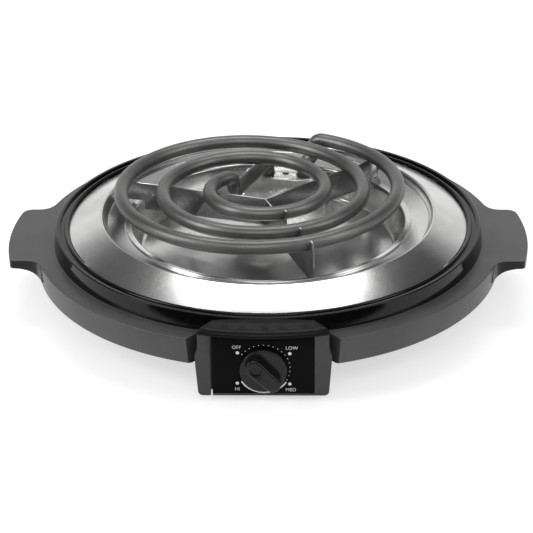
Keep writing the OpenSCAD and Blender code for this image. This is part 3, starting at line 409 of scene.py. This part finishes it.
# %% Drip bowl
TERMINAL_TURN = math.radians(82)
bowl_path = ([(73.85, 42.2), (71.6, 41.75)] + arc(71.5, 40.6, 1.15, 92, 172, 6)
             + [(66.95, 28.35)] + arc(64.4, 28.6, 2.6, 352, 277, 8) + [(60, FLOOR), (30, FLOOR), (0, FLOOR)])
bowl = turned("pressed_drip_bowl", sheet_section(bowl_path, SHEET))
clear_selection()
bpy.ops.mesh.primitive_cube_add(size=1, location=(71 * MM, 0, 30 * MM), scale=(30 * MM, 40 * MM, 16.8 * MM))
window = bpy.context.object
bpy.ops.object.transform_apply(location=True, rotation=False, scale=True)
window.rotation_euler.z = TERMINAL_TURN
bpy.ops.object.transform_apply(location=False, rotation=True, scale=False)
join_or_cut(bowl, window)
finish_mesh(bowl)
bowl.data.materials.append(pressed_steel)
stand_for(bowl, "drip_bowl")

# %% [markdown]
# ## Heating coil
# A coil winder bends one straight tube, arc after arc. The same is done here: a circle of edges
# is spun about the centre of each bend in turn, and pushed straight between them.

# %% Heating coil
TUBE_R, COIL_Z, LEG_Z, LEG_FOOT, STEP = 3.65, 56.7, 46.8, 28.3, 4.95
BENDS = [74, 69, 62.5, 62.5, 53, 50, 44, 39.5, 32, 27.5]
WIDEST = Vector((67.2, 8))
START_BEND, START_SWEEP, END_BEND, END_SWEEP = 65.5, 66, 22, 50


def terminal(side):
    return polar(61, 82) + polar(side * 10, 172)


def spin_tube(centre, axis, degrees, steps):
    bpy.ops.mesh.spin(steps=steps, angle=-math.radians(degrees), center=Vector(centre) * MM, axis=axis)


def push(vector):
    bpy.ops.mesh.extrude_region_move(TRANSFORM_OT_translate={"value": Vector(vector) * MM})


start_centre = WIDEST - Vector((START_BEND, 0))
outer_end = start_centre + polar(START_BEND, START_SWEEP)
outer_step = outer_end + polar(STEP, START_SWEEP + 90)
foot = terminal(-1)
run = (outer_step - foot).normalized()
clear_selection()
bpy.ops.mesh.primitive_circle_add(vertices=28, radius=TUBE_R * MM, location=(*(foot * MM), LEG_FOOT * MM))
coil = bpy.context.object
coil.name = coil.data.name = "wound_heating_coil"
bpy.ops.object.transform_apply(location=True, rotation=True, scale=True)
bpy.ops.object.mode_set(mode="EDIT")
bpy.ops.mesh.select_all(action="SELECT")
# up out of the terminal, level towards the turns, and up onto them
push((0, 0, LEG_Z - STEP - LEG_FOOT))
side = Vector((-run.y, run.x, 0))
spin_tube((*(foot + run * STEP), LEG_Z - STEP), side, 90, 8)
push((*(run * ((outer_step - foot).length - 2 * STEP)), 0))
spin_tube((*(outer_step - run * STEP), LEG_Z + STEP), -side, 90, 8)
heading = polar(1, START_SWEEP - 90)
side = Vector((-heading.y, heading.x, 0))
spin_tube((*(outer_step + heading * STEP), COIL_Z - STEP), side, 90, 8)
spin_tube((*start_centre, COIL_Z), (0, 0, -1), START_SWEEP, 26)
centre = WIDEST - Vector((BENDS[0], 0))
for i, bend in enumerate(BENDS):
    if i:
        centre = centre + (BENDS[i - 1] - bend) * polar(1, -90 * i)
    spin_tube((*centre, COIL_Z), (0, 0, -1), 90, 16 + int(bend / 3))
last = -90 * len(BENDS)
centre = centre + (BENDS[-1] - END_BEND) * polar(1, last)
spin_tube((*centre, COIL_Z), (0, 0, -1), END_SWEEP, 12)
# down off the turns, level to the second terminal, and down into it
inner_end = centre + polar(END_BEND, last - END_SWEEP)
heading = polar(1, last - END_SWEEP - 90)
inner_step = inner_end + heading * STEP
side = Vector((-heading.y, heading.x, 0))
spin_tube((*inner_end, COIL_Z - STEP), side, 90, 8)
run = (terminal(1) - inner_step).normalized()
side = Vector((-run.y, run.x, 0))
spin_tube((*(inner_step + run * STEP), LEG_Z + STEP), -side, 90, 8)
push((*(run * ((terminal(1) - inner_step).length - 2 * STEP)), 0))
spin_tube((*(terminal(1) - run * STEP), LEG_Z - STEP), side, 90, 8)
push((0, 0, LEG_FOOT - LEG_Z + STEP))
bpy.ops.mesh.select_all(action="SELECT")
bpy.ops.mesh.fill_holes(sides=0)
finish_mesh(coil)
coil.data.materials.append(oxide_sheath)
stand_for(coil, "heating_coil")

# %% [markdown]
# ## Body shell
# The body comes out of one mould. Its collar, groove and skirt are round, so a section is spun.
# The notch for the control box and the handles' finger scoops are then cut, as a mould maker
# cuts them into the tool.

# %% Body section
SEAT_IN, BEAD_IN, GROOVE_IN, RIM_IN = 97.5, 103.3, 105.4, 107.5
SEAT_FOOT, SEAT_TOP = 36.9, 39.3
shell_section = ([(SEAT_IN, SEAT_FOOT), (SEAT_IN, SEAT_TOP), (BEAD_IN, SEAT_TOP)]
                 + arc(BEAD_IN + 1.05, COLLAR_TOP - 1.15, 1.05, 180, 0, 10)
                 + [(GROOVE_IN, 40.0), (RIM_IN - 0.1, 39.9)] + arc(RIM_IN + 0.3, COLLAR_TOP - 0.3, 0.3, 180, 90, 4)
                 + arc(COLLAR_R - 0.4, COLLAR_TOP - 0.4, 0.4, 90, 10, 5)
                 + [(COLLAR_FOOT_R - 0.05, FLAT_TOP + 0.2), (COLLAR_FOOT_R + 0.2, FLAT_TOP)]
                 + arc(BODY_R - 0.5, FLAT_TOP - 0.5, 0.5, 90, 5, 5)
                 + [(SKIRT_R + 0.05, SKIRT_FOOT + 0.4), (SKIRT_R - 0.3, SKIRT_FOOT), (SKIRT_R - WALL, SKIRT_FOOT),
                    (BODY_R - WALL, FLAT_TOP - WALL), (COLLAR_FOOT_R - WALL, FLAT_TOP - WALL),
                    (COLLAR_R - WALL, SEAT_FOOT)])
shell = turned("moulded_body_shell", shell_section, steps=288)


# %% Handles
HANDLE_HALF, HANDLE_FORE, FILLET = 31, 2.2, 8
BACK_CORNER, FRONT_CORNER = 5.5, 2.5
TIP_THICKNESS, SCOOP_R = 4.2, 24
# no two faces may lie in one plane when solids are joined, so a handle stands this much proud
OVERLAP = 0.004


def handle_side(s, corner):
    """Points from the body to the handle's tip along one side: s is 1 at the back, -1 at the front."""
    y = HANDLE_HALF - corner
    cx = math.sqrt((HANDLE_R - corner) ** 2 - y ** 2)
    tip = math.degrees(math.asin(y / (HANDLE_R - corner)))
    fy = HANDLE_HALF - s * HANDLE_FORE + FILLET
    fx = math.sqrt((BODY_R + FILLET) ** 2 - fy ** 2)
    root = math.degrees(math.atan2(fy, fx)) + 180
    line = ([(108, 20), (fx + (FILLET + 3) * polar(1, root).x, fy + (FILLET + 3) * polar(1, root).y)]
            + arc(fx, fy, FILLET, root + 3, 270, 10) + arc(cx, y - s * HANDLE_FORE, corner, 90, tip, 8))
    return [(x, s * v) for x, v in line], s * tip


def undercut(sign):
    """The finger scoop and the room below the tip, as one cutter that runs front to back."""
    middle, top = HANDLE_R - 5, FLAT_TOP - TIP_THICKNESS
    section = arc(middle, top - SCOOP_R, SCOOP_R, 190, 90, 60) + [(HANDLE_R + 6, top), (HANDLE_R + 6, 0)]
    tool = draw_line("undercut", [(sign * x, z) for x, z in section + section[:1]])
    bpy.ops.mesh.edge_face_add()
    bpy.ops.transform.translate(value=(0, -60 * MM, 0))
    bpy.ops.mesh.extrude_region_move(TRANSFORM_OT_translate={"value": (0, 120 * MM, 0)})
    return finish_mesh(tool)


def handle(sign):
    """One handle, at the right for 1 and at the left for -1, hollowed where the body's wall is."""
    front, front_tip = handle_side(-1, FRONT_CORNER)
    rear, rear_tip = handle_side(1, BACK_CORNER)
    outline = front + arc(0, -HANDLE_FORE, HANDLE_R, front_tip, rear_tip, 24)[1:-1] + rear[::-1]
    solid = plate("handle", [(sign * x, y) for x, y in outline], SKIRT_FOOT, FLAT_TOP + OVERLAP - SKIRT_FOOT)
    join_or_cut(solid, undercut(sign))
    round_edges(solid, 0.7, 3)
    join_or_cut(solid, peg("body_inside", 118.4, (0, 0, 0), (0, 0, 60), 200))
    return finish_mesh(solid)


right_handle, left_handle = handle(1), handle(-1)
pick(left_handle)
right_handle.select_set(True)
bpy.ops.object.join()
join_or_cut(shell, left_handle, "UNION")

# %% Notch and cord hole
NOTCH_BACK, NOTCH_FRONT, NOTCH_FOOT, NOTCH_HEIGHT = 29.3, 36.3, 15, 26.3
CHEEK_Z, CHEEK_HEIGHT, CORD_Z = 25.9, 13.2, 24.8
near = Vector((NOTCH_BACK, -math.sqrt(COLLAR_FOOT_R ** 2 - NOTCH_BACK ** 2)))
far = Vector((NOTCH_FRONT, -math.sqrt(BODY_R ** 2 - NOTCH_FRONT ** 2)))
slope = far - near
inner, outer = near - 0.2 * slope, far + 1.5 * slope
notch = plate("notch", [(inner.x, inner.y), (outer.x, outer.y), (-outer.x, outer.y), (-inner.x, inner.y)],
              NOTCH_FOOT, NOTCH_HEIGHT)
join_or_cut(notch, peg("collar_kept", COLLAR_FOOT_R, (0, 0, 0), (0, 0, 60), 288))
join_or_cut(shell, notch)
for sign in (1, -1):
    turn = math.atan2(slope.y, sign * slope.x)
    middle = (near + far) / 2
    normal = Vector((-slope.y, slope.x)).normalized()
    spot = middle + normal * WALL / 2
    clear_selection()
    bpy.ops.mesh.primitive_cube_add(size=1, location=(sign * spot.x * MM, (spot.y + 0.5) * MM, CHEEK_Z * MM),
                                    scale=((slope.length - 1.6) * MM, WALL * MM, CHEEK_HEIGHT * MM))
    wall = bpy.context.object
    bpy.ops.object.transform_apply(location=False, rotation=False, scale=True)
    wall.rotation_euler.z = turn
    bpy.ops.object.transform_apply(location=True, rotation=True, scale=False)
    join_or_cut(shell, wall, "UNION")
join_or_cut(shell, peg("cord_hole", 4.5, (0, 112, CORD_Z), (0, 125, CORD_Z), 48, "Y"))
finish_mesh(shell)

# %% Finishes on one moulding, and painted shade on the handle sides
shell.data.materials.append(satin_abs)
shell.data.materials.append(gloss_abs)
shell.data.materials.append(handle_side_shade_abs)
for face in shell.data.polygons:
    r = face.center.xy.length / MM
    if face.center.z / MM > FLAT_TOP + 0.3 and r < COLLAR_FOOT_R + 0.2:
        face.material_index = 1
    # upright faces outside the body's round, the handles' sides, get that darker plastic: painted shade
    elif r > BODY_R + 1 and abs(face.normal.z) < 0.6:
        face.material_index = 2
stand_for(shell, "body_shell")

# %% [markdown]
# ## Control box
# The box and its hood are one flat moulding with barely rounded edges. A copy of its solid is
# merged and gets a small bevel, and the hood has a darker finish than the box below it. The
# panel is a plate on two studs, with a hole for the bushing and a pilot hole in each stud.

# %% Control box
housing = softened("control_housing", "moulded_control_box", 0.25)
housing.data.materials.clear()
housing.data.materials.append(housing_abs)
housing.data.materials.append(hood_abs)
HOOD_FOOT = 35.9
for face in housing.data.polygons:
    face.material_index = int(face.center.z > HOOD_FOOT * MM)

# %% Control panel
PANEL_FACE, PANEL_BACK, KNOB_Z, STUD_X = 116.5, 114.95, 18.0, 16
clear_selection()
bpy.ops.mesh.primitive_cube_add(size=1, location=(-0.025 * MM, -(PANEL_FACE + PANEL_BACK) / 2 * MM, 20.275 * MM),
                                scale=(48.35 * MM, (PANEL_FACE - PANEL_BACK) * MM, 31.45 * MM))
panel = bpy.context.object
panel.name = panel.data.name = "lacquered_control_panel"
bpy.ops.object.transform_apply(location=True, rotation=True, scale=True)
round_edges(panel, 0.15, 2)
for side in (-1, 1):
    x = side * STUD_X
    join_or_cut(panel, peg("stud", 3, (x, -115.5, KNOB_Z), (x, -113.3, KNOB_Z), 48, "Y"), "UNION")
    join_or_cut(panel, peg("pilot", 1.35, (x, -116, KNOB_Z), (x, -112, KNOB_Z), 32, "Y"))
join_or_cut(panel, peg("bushing_hole", 4.9, (0, -120, KNOB_Z), (0, -110, KNOB_Z), 64, "Y"))
finish_mesh(panel)
panel.data.materials.append(panel_black)
stand_for(panel, "control_panel")

# %% [markdown]
# ## Heat marks
# The dots, the arc and the words are one screen print. Ink has no depth to speak of, so each
# mark is a flat piece a twentieth of a millimetre thick, and all are joined into one.

# %% Heat marks
INK, LETTER, BIG_DOT, SMALL_DOT, DOT_RING = 0.05, 2.5, 0.82, 0.21, 12.6
DOTS, FIRST_DOT, LAST_DOT = 17, 142.5, -28
marks = []


def dot(x, z, radius):
    front, rear = (x, -PANEL_FACE - INK, KNOB_Z + z), (x, -PANEL_FACE + INK, KNOB_Z + z)
    marks.append(peg("dot", radius, front, rear, 24, "Y"))


for x, z in ((-12.1, 8.5), (12.5, 8.1), (12.45, -8.3), (-12.4, -7.9)):
    dot(x, z, BIG_DOT)
for i in range(DOTS):
    spot = polar(DOT_RING, FIRST_DOT - i * (FIRST_DOT - LAST_DOT) / (DOTS - 1))
    dot(spot.x, spot.y, SMALL_DOT)


def word(text, x, z):
    clear_selection()
    bpy.ops.object.text_add(rotation=(math.pi / 2, 0, 0))
    obj = bpy.context.object
    obj.data.body = text
    obj.data.size = LETTER * MM
    obj.data.align_x = "CENTER"
    obj.data.align_y = "CENTER"
    obj.data.extrude = INK * MM
    obj.data.offset = -0.02 * MM
    bpy.ops.object.convert(target="MESH")
    obj.location = (x * MM, -PANEL_FACE * MM, (KNOB_Z + z) * MM)
    bpy.ops.object.transform_apply(location=True, rotation=True, scale=True)
    marks.append(obj)


for text, x, z in (("OFF", -12.5, 11.4), ("LOW", 13.4, 11.0), ("MED", 12.9, -11.5), ("HI", -12.4, -11.1)):
    word(text, x, z)
outside = arc(0.25, -0.35, 12.9, 212, 326, 40)
inside = arc(0.3, -0.2, 12.25, 326, 212, 40)
swoosh = draw_line("swoosh", outside + inside + outside[:1])
bpy.ops.mesh.edge_face_add()
bpy.ops.transform.translate(value=(0, (-PANEL_FACE - INK) * MM, KNOB_Z * MM))
bpy.ops.mesh.extrude_region_move(TRANSFORM_OT_translate={"value": (0, 2 * INK * MM, 0)})
marks.append(finish_mesh(swoosh))
clear_selection()
for obj in marks:
    obj.select_set(True)
bpy.context.view_layer.objects.active = swoosh
bpy.ops.object.join()
print_marks = bpy.context.object
print_marks.name = print_marks.data.name = "printed_heat_marks"
print_marks.data.materials.clear()
print_marks.data.materials.append(white_ink)
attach(print_marks, "burner")

# %% [markdown]
# ## Knob
# The knob is a disc with a grip across it that doubles as the pointer. The grip is drawn as
# an outline, raised off the disc and rounded. A dimple with a dished rim is sunk near its tail.

# %% Knob
POINTER, KNOB_R, DISC_BACK, DISC_FACE = -45, 11.2, 117.0, 119.6
GRIP_FOOT, GRIP_HEIGHT = 119.0, 6.2
DIMPLE_AT, DIMPLE_R, DIMPLE_FLOOR, DISH_R, DISH_Y = 4.6, 2.7, 123.7, 6.5, 130.9
disc = peg("turned_knob", KNOB_R, (0, -DISC_FACE, KNOB_Z), (0, -DISC_BACK, KNOB_Z), 128, "Y")
round_edges(disc, 0.8, 4)
grip_outline = arc(6.3, 0, 3.9, -88, 88, 16) + arc(-6.0, 0, 4.2, 92, 268, 16)
grip = plate("grip", grip_outline, 0, GRIP_HEIGHT)
round_edges(grip, 1.1, 4)
pick(grip)
grip.matrix_world = (Matrix.Translation(Vector((0, -GRIP_FOOT, KNOB_Z)) * MM) @ Matrix.Rotation(math.pi / 2, 4, "X")
                     @ Matrix.Rotation(math.radians(POINTER), 4, "Z"))
bpy.ops.object.transform_apply(location=True, rotation=True, scale=True)
join_or_cut(disc, grip, "UNION")
spot = polar(DIMPLE_AT, 180 + POINTER)
dimple = peg("dimple", DIMPLE_R, (spot.x, -127, KNOB_Z + spot.y), (spot.x, -DIMPLE_FLOOR, KNOB_Z + spot.y), 48, "Y")
round_edges(dimple, 0.5, 3)
join_or_cut(disc, dimple)
clear_selection()
bpy.ops.mesh.primitive_uv_sphere_add(segments=48, ring_count=24, radius=DISH_R * MM,
                                     location=Vector((spot.x, -DISH_Y, KNOB_Z + spot.y)) * MM)
bpy.ops.object.transform_apply(location=True, rotation=True, scale=True)
join_or_cut(disc, bpy.context.object)
finish_mesh(disc)
disc.data.materials.append(knob_abs)
stand_for(disc, "knob", "control_knob")

# %% [markdown]
# ## Sheet and strip parts
# The bracket is folded sheet and the supports are bent strip, so copies of them get softer
# edges, and the strips' faces that face up are bright: partly bare steel where they were sheared,
# and partly a painted highlight where the light from above falls on them. The other nodes stay as
# they are and get the finish of the real part.

# %% Bracket
bracket = softened("terminal_bracket", "folded_terminal_bracket", 0.15)
bracket.data.materials.clear()
bracket.data.materials.append(sheet_steel)

# %% Support strips
for node, name in (("support_strip", "bent_support_strip"), ("support_arm", "slotted_support_arm")):
    strip = softened(node, name, 0.08)
    strip.data.materials.clear()
    strip.data.materials.append(strip_steel)
    strip.data.materials.append(sheared_edge_and_highlight_steel)
    for face in strip.data.polygons:
        # faces that face up get the bright steel: sheared edges, and a painted highlight from the light above
        face.material_index = int(face.normal.z > 0.6)

# %% The other nodes
finishes = {
    "terminal_block": steatite, "terminal_pins": zinc_steel, "terminal_nuts": turned_brass,
    "knob_clip": zinc_steel,
    "thermostat_shaft": turned_brass, "thermostat_bushing": turned_brass, "thermostat_body": phenolic,
    "thermostat_terminals": turned_brass, "thermostat_bracket": zinc_steel, "thermostat_screws": zinc_steel,
    "base_pan": pan_enamel, "base_screws": zinc_steel, "housing_screws": zinc_steel, "feet": rubber,
    "foot_screws": zinc_steel, "foot_nuts": zinc_steel, "inlet_grommet": rubber, "live_wire": sleeve["brown"],
    "element_wire": sleeve["red"], "neutral_wire": sleeve["blue"], "earth_wire": sleeve["green"],
    "earth_screw": turned_brass}
for node, material in finishes.items():
    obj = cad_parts[node]
    obj.data.materials.clear()
    obj.data.materials.append(material)
print("finishes on", len(finishes), "nodes")

# %% [markdown]
# ## Studio
# A pale table under four softboxes: a broad one overhead and a little behind, one at each side
# and a dim one in front. Polished steel shows the room, so four cards stand round the table:
# a pale wall behind, grey sky at both sides and a low black flag in front, which keeps the
# gloss black pieces dark. The camera does not see the cards.

# %% Floor
TABLE_LIFT = 0.6
clear_selection()
bpy.ops.mesh.primitive_plane_add(size=6)
floor = bpy.context.object
floor.name = "studio_table"
pale = new_material("white_table_paint")
rays = add(pale, "ShaderNodeLightPath").outputs
eye = rays["Is Camera Ray"]
for ray in ("Is Glossy Ray", "Is Transmission Ray"):
    eye = add(pale, "ShaderNodeMath", {0: eye, 1: rays[ray]}, _operation="MAXIMUM").outputs[0]
lift = add(pale, "ShaderNodeMath", {0: eye}, _operation="MULTIPLY", i1=TABLE_LIFT).outputs[0]
paint = add(pale, "ShaderNodeBsdfDiffuse", Color=colour("#d0d0d0"))
glow = add(pale, "ShaderNodeEmission", {"Strength": lift}, Color=(1, 1, 1, 1))
both = add(pale, "ShaderNodeAddShader", {0: paint.outputs[0], 1: glow.outputs[0]})
add(pale, "ShaderNodeOutputMaterial", {"Surface": both.outputs[0]})
floor.data.materials.append(pale)


# %% Lights and world
def softbox(name, spot, size, power):
    clear_selection()
    bpy.ops.object.light_add(type="AREA", location=spot)
    lamp = bpy.context.object
    lamp.name = name
    lamp.data.shape = "RECTANGLE"
    lamp.data.size, lamp.data.size_y = size
    lamp.data.energy = power
    lamp.rotation_euler = (-Vector(spot)).to_track_quat("-Z", "Y").to_euler()


softbox("softbox_overhead", (0.0, 0.38, 1.3), (1.0, 0.45), 6.2)
softbox("softbox_left", (-1.2, -0.5, 0.75), (0.5, 0.9), 7.5)
softbox("softbox_right", (1.2, -0.5, 0.75), (0.5, 0.9), 4)
softbox("softbox_front", (0.0, -1.15, 1.0), (0.8, 0.4), 3.6)
world = bpy.data.worlds.new("studio")
bpy.context.scene.world = world
world.use_nodes = True
world.node_tree.nodes.clear()
sky = add(world, "ShaderNodeBackground", Color=(1, 1, 1, 1), Strength=0.4)
add(world, "ShaderNodeOutputWorld", {"Surface": sky.outputs[0]})


# %% Cards
def card(name, centre, size, code, glow_strength=0.0):
    """A flat card that faces the burner. A bright one glows as a lit reflector does."""
    clear_selection()
    bpy.ops.mesh.primitive_plane_add(size=1)
    obj = bpy.context.object
    obj.name = name
    obj.scale = (*size, 1)
    obj.location = centre
    obj.rotation_euler = (Vector((0, 0, 0.04)) - Vector(centre)).to_track_quat("Z", "Y").to_euler()
    m = new_material(name + "_card")
    face = add(m, "ShaderNodeBsdfDiffuse", Color=colour(code)).outputs[0]
    if glow_strength:
        lit = add(m, "ShaderNodeEmission", Color=(1, 1, 1, 1), Strength=glow_strength).outputs[0]
        face = add(m, "ShaderNodeAddShader", {0: face, 1: lit}).outputs[0]
    add(m, "ShaderNodeOutputMaterial", {"Surface": face})
    obj.data.materials.append(m)
    obj.visible_camera = False


card("white_back_wall", (0.0, 1.6, 0.45), (3.2, 0.9), "#f0f0f0", 0.5)
card("black_flag_in_front", (0.0, -0.31, 0.02), (0.9, 0.045), "#0c0c0c")
card("grey_sky_left", (-1.1, 0.9, 1.5), (1.2, 0.9), "#6c6c6c")
card("grey_sky_right", (1.1, 0.9, 1.5), (1.2, 0.9), "#484848")
bpy.context.scene.view_settings.view_transform = "Standard"
